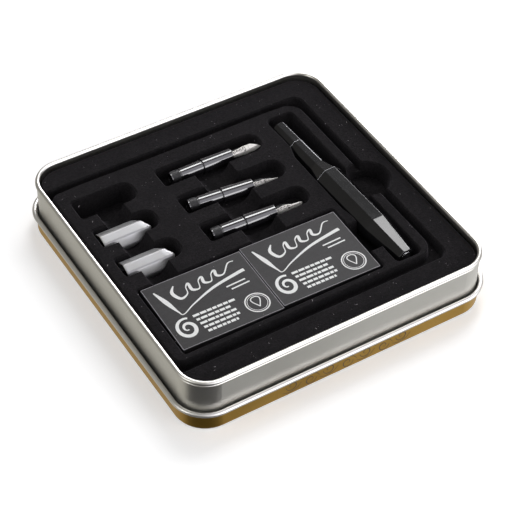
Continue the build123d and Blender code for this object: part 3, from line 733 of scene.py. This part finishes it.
def painted_edge_highlights():
    """Painted highlights: pale hairlines at the cap's lip, along the barrel's right arris and at its
    seam.
    """
    cap_low, cap_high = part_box("pen_cap_shell")
    end_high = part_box("pen_barrel_end")[1]
    axis_z = (cap_low[2] + cap_high[2]) / 2
    cap_half = (cap_high[2] - cap_low[2]) / 2
    seam_half = end_high[2] - axis_z
    seam = CAP_LENGTH + BARREL_LENGTH
    corner = math.tan(math.radians(22.5))
    # the facets beside the top one fall away at 45 degrees
    slope = 0.7071
    space = (Matrix.Translation((*PEN_END, axis_z))
             @ Matrix.Rotation(math.radians(PEN_HEADING), 4, "Z"))
    strokes = []

    def ring_line(x, half):
        # over the top facet and the two beside it
        outline = [(half, half * corner), (half * corner, half), (-half * corner, half),
                   (-half, half * corner)]
        verts = []
        for y, z in outline:
            for at in (x - RING_WIDTH, x):
                verts.append(space @ Vector((at, y * EDGE_LIFT, z * EDGE_LIFT)))
        strokes.append((verts, [(2 * k, 2 * k + 1, 2 * k + 3, 2 * k + 2) for k in range(3)]))

    def arris(x0, half0, x1, half1, wide):
        # along the top facet's right edge, half on each face
        verts = []
        for x, half in ((x0, half0), (x1, half1)):
            edge = Vector((x, -half * corner, half + 0.00003))
            verts += [space @ (edge + Vector((0, wide, 0))), space @ edge,
                      space @ (edge + Vector((0, -wide * slope, -wide * slope)))]
        strokes.append((verts, [(0, 1, 4, 3), (1, 2, 5, 4)]))

    ring_line(CAP_LENGTH - 0.00031, cap_half)
    verts, faces = join_strokes(strokes)
    piece_from("cap_lip_painted_highlight", verts, faces, MATERIALS["painted_edge_highlight"], "pen_cap", False)
    strokes.clear()
    arris(CAP_LENGTH + FLARE_LENGTH + 0.0001, BARREL_HALF, seam - 0.0001, seam_half, ARRIS_WIDTH)
    arris(seam + 0.0004, seam_half, seam + PLUG_LENGTH - 0.0005, PLUG_HALF, PLUG_ARRIS_WIDTH)
    ring_line(seam + 0.00046, seam_half)
    verts, faces = join_strokes(strokes)
    piece_from("barrel_edge_painted_highlight", verts, faces, MATERIALS["painted_edge_highlight"], "pen_barrel_body",
               False)


painted_edge_highlights()


# Print on the cartons: a plain pen flourish, ruled lines and a ring with a drop. Middle of each
# carton in X and Y, height of its top, its turn in degrees and how far the print stands clear
CARTONS = {"carton_1": (-0.04198, -0.0333), "carton_2": (0.00798, -0.0333)}
CARTON_TOP = 0.02625
CARTON_TURN = -1.2
PRINT_LIFT = 0.00002


def ring(cx, cy, radius, width):
    """Circle of even width."""
    steps = 72
    points = [(cx + radius * math.cos(2 * math.pi * i / steps),
               cy + radius * math.sin(2 * math.pi * i / steps)) for i in range(steps + 1)]
    return points, [width] * len(points)


def carton_print(name, centre):
    """Print and painted highlights on the folds of a carton's top, drawn in millimetres from its
    middle.
    """
    turn = math.radians(CARTON_TURN)
    c, s = math.cos(turn), math.sin(turn)

    def on_top(u, v):
        x, y = u * c - v * s, u * s + v * c
        return Vector((centre[0] + x, centre[1] + y, CARTON_TOP + PRINT_LIFT))

    strokes = []

    def draw(points, widths):
        strokes.append(stroke_mm(points, widths, on_top))

    # flourish: loops of a broad pen that run out into an underline
    draw(*brush([(-20.5, 15.5, 0.7), (-18.2, 8.0, 2.2), (-16.2, 0.8, 0.8), (-14.6, -1.6, 0.5),
                 (-8.0, 1.6, 0.7), (4.0, 6.0, 1.3), (18.0, 8.6, 1.7), (21.0, 8.9, 1.6)]))
    draw(*brush([(-11.0, 15.2, 0.5), (-13.4, 11.5, 1.6), (-11.4, 7.0, 1.4), (-7.6, 8.2, 0.6),
                 (-6.4, 12.0, 0.5), (-4.6, 13.4, 1.2), (-4.6, 9.4, 1.5), (-1.4, 8.6, 0.6),
                 (0.2, 12.8, 0.5), (2.4, 14.0, 1.2), (2.0, 10.6, 1.4), (5.2, 9.8, 0.6),
                 (7.0, 13.6, 0.5), (9.2, 14.8, 1.2), (8.8, 11.6, 1.4), (12.0, 11.0, 0.7),
                 (16.4, 15.6, 0.6), (19.4, 15.8, 0.4)], 14))
    # ruled lines, two short ones under the flourish and five broken ones below
    rule_width, gap = 1.3, 0.45
    for y, left, right in ((3.4, 9.0, 18.6), (1.2, 10.4, 19.6)):
        draw([(left, y), (right, y + 0.5)], [0.75, 0.75])
    for row, (left, right) in enumerate(((-12.0, 9.4), (-11.6, 5.6), (-11.2, 6.4),
                                         (-10.8, 7.0), (-10.2, 4.6))):
        y = -4.6 - row * 2.6
        x = left
        seed = random.Random(row)
        while x < right - 0.8:
            wide = min(seed.uniform(1.4, 3.4), right - x)
            draw([(x, y), (x + wide, y)], [rule_width, rule_width])
            x += wide + gap
    # open spiral on the left
    points, widths = spiral(-17.0, -9.6, 4.6, 1.55, 0.35 * math.pi, 1, 60, 1.0)
    draw([(x, y * 1.15 + 1.4) for x, y in points], [w + 0.35 for w in widths])
    # ring with a drop of ink
    ring_x, ring_y, drop_y = 16.2, -11.0, -10.4
    draw(*ring(ring_x, ring_y, 5.4, 0.6))
    draw(*ring(ring_x, ring_y, 4.5, 0.25))
    drop = []
    for i in range(49):
        t = 2 * math.pi * i / 48
        drop.append((ring_x + 3.105 * math.sin(t) * (0.55 + 0.45 * math.cos(t)),
                     drop_y + 3.0 * math.cos(t)))
    draw(drop, [0.5] * len(drop))
    verts, faces = join_strokes(strokes)
    piece_from(f"{name}_print", verts, faces, MATERIALS["carton_print"], f"{name}_body",
               False)
    # worn folds round the top
    # pale lines round the top: painted highlights on the folded edges
    strokes.clear()
    half_x, half_y = 24.54, 19.44
    count = 40
    for ax, ay, bx, by in ((-1, -1, 1, -1), (1, -1, 1, 1), (1, 1, -1, 1), (-1, 1, -1, -1)):
        start = (ax * half_x, ay * half_y)
        end = (bx * half_x, by * half_y)
        seed = random.Random(int(100 * (ax + 2 * ay + 3 * bx)))
        points = [(start[0] + (end[0] - start[0]) * i / count,
                   start[1] + (end[1] - start[1]) * i / count) for i in range(count + 1)]
        draw(points, [0.2 + 0.12 * seed.random() for _ in points])
    verts, faces = join_strokes(strokes)
    piece_from(f"{name}_painted_fold_highlights", verts, faces, MATERIALS["painted_fold_highlight"], f"{name}_body",
               False)


for carton, centre in CARTONS.items():
    carton_print(carton, centre)


# Scroll ornament printed on the gold front wall: the wall's face in metres, and the scrolls'
# middle height and pitch in millimetres
FRONT_FACE_Y = -0.07782
SCROLL_HEIGHT = 5.4
SCROLL_PITCH = 9.5


def wall_ornament():
    """Plain leaf scrolls along the middle of the front wall, every other one turned over."""

    def on_wall(u, v):
        return Vector((u, FRONT_FACE_Y, v))

    strokes = []
    mid = SCROLL_HEIGHT
    for k in range(-3, 4):
        cx = SCROLL_PITCH * k
        hand = 1 if k % 2 else -1
        points, widths = spiral(cx, mid + 0.7 * hand, 2.7, 1.3, math.pi * (0.5 + 0.5 * hand),
                                hand, 40, 0.38)
        strokes.append(stroke_mm(points, widths, on_wall))
        points, widths = brush([(cx - 4.8, mid - 1.9 * hand, 0.15), (cx - 1.6, mid - 3.0 * hand, 0.4),
                                (cx + 2.6, mid - 2.0 * hand, 0.35),
                                (cx + 4.8, mid + 0.6 * hand, 0.15)], 8)
        strokes.append(stroke_mm(points, widths, on_wall))
    verts, faces = join_strokes(strokes)
    piece_from("front_scrolls", verts, faces, MATERIALS["scroll_print"], "lid",
               False)


wall_ornament()


# Specks of lint on the flock: how many are tried, half the width of the square that they fall on,
# their height, and how far the two edges of each stand above and below it
LINT_TRIES = 420
LINT_REACH = 0.073
LINT_Z = 0.02641
LINT_TILT = 0.00002


def lint_specks():
    """Short bent fibres on the tray's flange and deck, none over the moat or a pocket."""
    seed = random.Random(7)
    verts, faces = [], []
    for _ in range(LINT_TRIES):
        x, y = seed.uniform(-LINT_REACH, LINT_REACH), seed.uniform(-LINT_REACH, LINT_REACH)
        on_flange = abs(x) > 0.064 or y > 0.064 or y < -0.0635
        between_pockets = -0.034 < x < -0.026 or (0.031 < x < 0.0365 and y > -0.01)
        on_deck = between_pockets or y > 0.0525 or y < -0.0555
        over_moat = 0.0585 < x < 0.063 or abs(abs(y) - 0.0605) < 0.0035
        over_scoop = x > 0.045 and -0.016 < y < 0.0055
        if not (on_flange or on_deck) or over_moat or over_scoop or x < -0.0725:
            continue
        size, turn, bend = seed.uniform(0.00008, 0.00022), seed.uniform(0, 6.3), seed.uniform(-1, 1)
        long = size * seed.choice((1, 1, 2.5, 5))
        base = len(verts)
        for i in range(5):
            t = (i / 4 - 0.5) * long
            sag = bend * t * t * 400
            px = x + t * math.cos(turn) - sag * math.sin(turn)
            py = y + t * math.sin(turn) + sag * math.cos(turn)
            for sx in (-1, 1):
                verts.append((px - sx * size / 2 * math.sin(turn),
                              py + sx * size / 2 * math.cos(turn),
                              LINT_Z + LINT_TILT * sx))
        for i in range(4):
            k = base + 2 * i
            faces.append((k, k + 1, k + 3, k + 2))
    piece_from("lint", verts, faces, MATERIALS["lint"], "tray", False)


lint_specks()


# ---------------------------------------------------------------- light and floor
# Patches of the studio that mirror rays see: a direction, and the cosines of the angle from it
# where the patch begins and where it is full
VIEWER_SIDE = ((-0.42, -0.66, -0.62), 0.60, 0.76)
FRONT_SOFTBOX = ((0.41, -0.80, 0.42), 0.68, 0.78)
BACK_STRIP = ((0.74, 0.59, 0.32), 0.950, 0.972)
UNLIT_SIDE = (0.02, 0.019, 0.018)
SOFTBOX_LIGHT = (1.6, 1.57, 1.7)
STRIP_LIGHT = (9.0, 8.9, 9.2)
ROOM_LIGHT = (0.36, 0.36, 0.37)
FLOOR_GLOW = 0.3


def area(name, place_at, look_at, size, energy):
    """Rectangular lamp; energy is in watts."""
    data = bpy.data.lights.new(name, "AREA")
    data.shape = "RECTANGLE"
    data.size, data.size_y = size
    data.energy = energy
    lamp = bpy.data.objects.new(name, data)
    lamp.location = place_at
    lamp.rotation_euler = (Vector(look_at) - Vector(place_at)).to_track_quat("-Z", "Y").to_euler()
    scene.collection.objects.link(lamp)


def lobe(tree, coords, direction, outer, inner):
    """Soft round patch of the studio round a direction: 1 inside, 0 outside."""
    toward = tree.nodes.new("ShaderNodeVectorMath")
    toward.operation = "DOT_PRODUCT"
    toward.inputs[1].default_value = Vector(direction).normalized()
    tree.links.new(coords.outputs["Generated"], toward.inputs[0])
    return ramp(tree, toward.outputs["Value"], (outer, 0.0), (inner, 1.0))


def make_world():
    """Plain white studio. Mirror rays see it dimmer overhead and dark on the viewer's side, with a
    softbox in front and a bright strip behind."""
    world = bpy.data.worlds.new("studio")
    world.use_nodes = True
    scene.world = world
    tree = world.node_tree
    back = tree.nodes["Background"]
    path = tree.nodes.new("ShaderNodeLightPath")
    coords = tree.nodes.new("ShaderNodeTexCoord")
    viewer = lobe(tree, coords, *VIEWER_SIDE)
    split = tree.nodes.new("ShaderNodeSeparateXYZ")
    tree.links.new(coords.outputs["Generated"], split.inputs[0])
    height = math_node(tree, "MULTIPLY_ADD", split.outputs[2], 0.5, 0.5)
    surround = ramp(tree, height, (0.10, (0.80, 0.80, 0.79)), (0.42, (0.60, 0.59, 0.57)),
                    (0.62, (0.34, 0.33, 0.33)), (0.90, (0.42, 0.42, 0.43)))
    across = node(tree, "ShaderNodeMapRange")
    across.inputs["From Min"].default_value = -0.5
    across.inputs["From Max"].default_value = 0.5
    tree.links.new(split.outputs[0], across.inputs["Value"])
    dimmer = ramp(tree, across.outputs["Result"], (0.0, (0.66, 0.64, 0.58)), (1.0, (1.0, 1.0, 1.0)))
    sided = mix(tree, 1.0, surround, dimmer, "MULTIPLY")
    unlit = mix(tree, viewer, sided, UNLIT_SIDE)
    front = mix(tree, lobe(tree, coords, *FRONT_SOFTBOX), unlit, SOFTBOX_LIGHT)
    mirrored = mix(tree, lobe(tree, coords, *BACK_STRIP), front, STRIP_LIGHT)
    sight = mix(tree, path.outputs["Is Glossy Ray"], ROOM_LIGHT, mirrored)
    white = math_node(tree, "MAXIMUM", path.outputs["Is Camera Ray"],
                      path.outputs["Is Transmission Ray"])
    tree.links.new(mix(tree, white, sight, (1, 1, 1)), back.inputs["Color"])


def make_floor():
    """Pale paper with a faint glow for the camera; mirror rays pass through it."""
    bpy.ops.mesh.primitive_plane_add(size=6, location=(0, 0, -0.0002))
    floor = bpy.context.object
    floor.name = "floor"
    floor.visible_glossy = False
    mat, tree, shader = material("floor")
    shader.inputs["Base Color"].default_value = (0.93, 0.93, 0.93, 1)
    shader.inputs["Roughness"].default_value = 0.9
    shader.inputs["Specular IOR Level"].default_value = 0.0
    shader.inputs["Emission Color"].default_value = (1, 1, 1, 1)
    path = tree.nodes.new("ShaderNodeLightPath")
    tree.links.new(math_node(tree, "MULTIPLY", path.outputs["Is Camera Ray"], FLOOR_GLOW),
                   shader.inputs["Emission Strength"])
    floor.data.materials.append(mat)


make_world()
make_floor()
area("overhead", (0.50, 0.46, 1.15), (0.50, 0.46, 0.0), (0.60, 0.46), 7.5)
area("front_low", (0.42, -0.92, 0.36), (0, 0, 0.02), (0.9, 0.36), 3.5)
area("left", (-1.0, -0.1, 0.6), (0, 0, 0.02), (0.5, 0.7), 3)
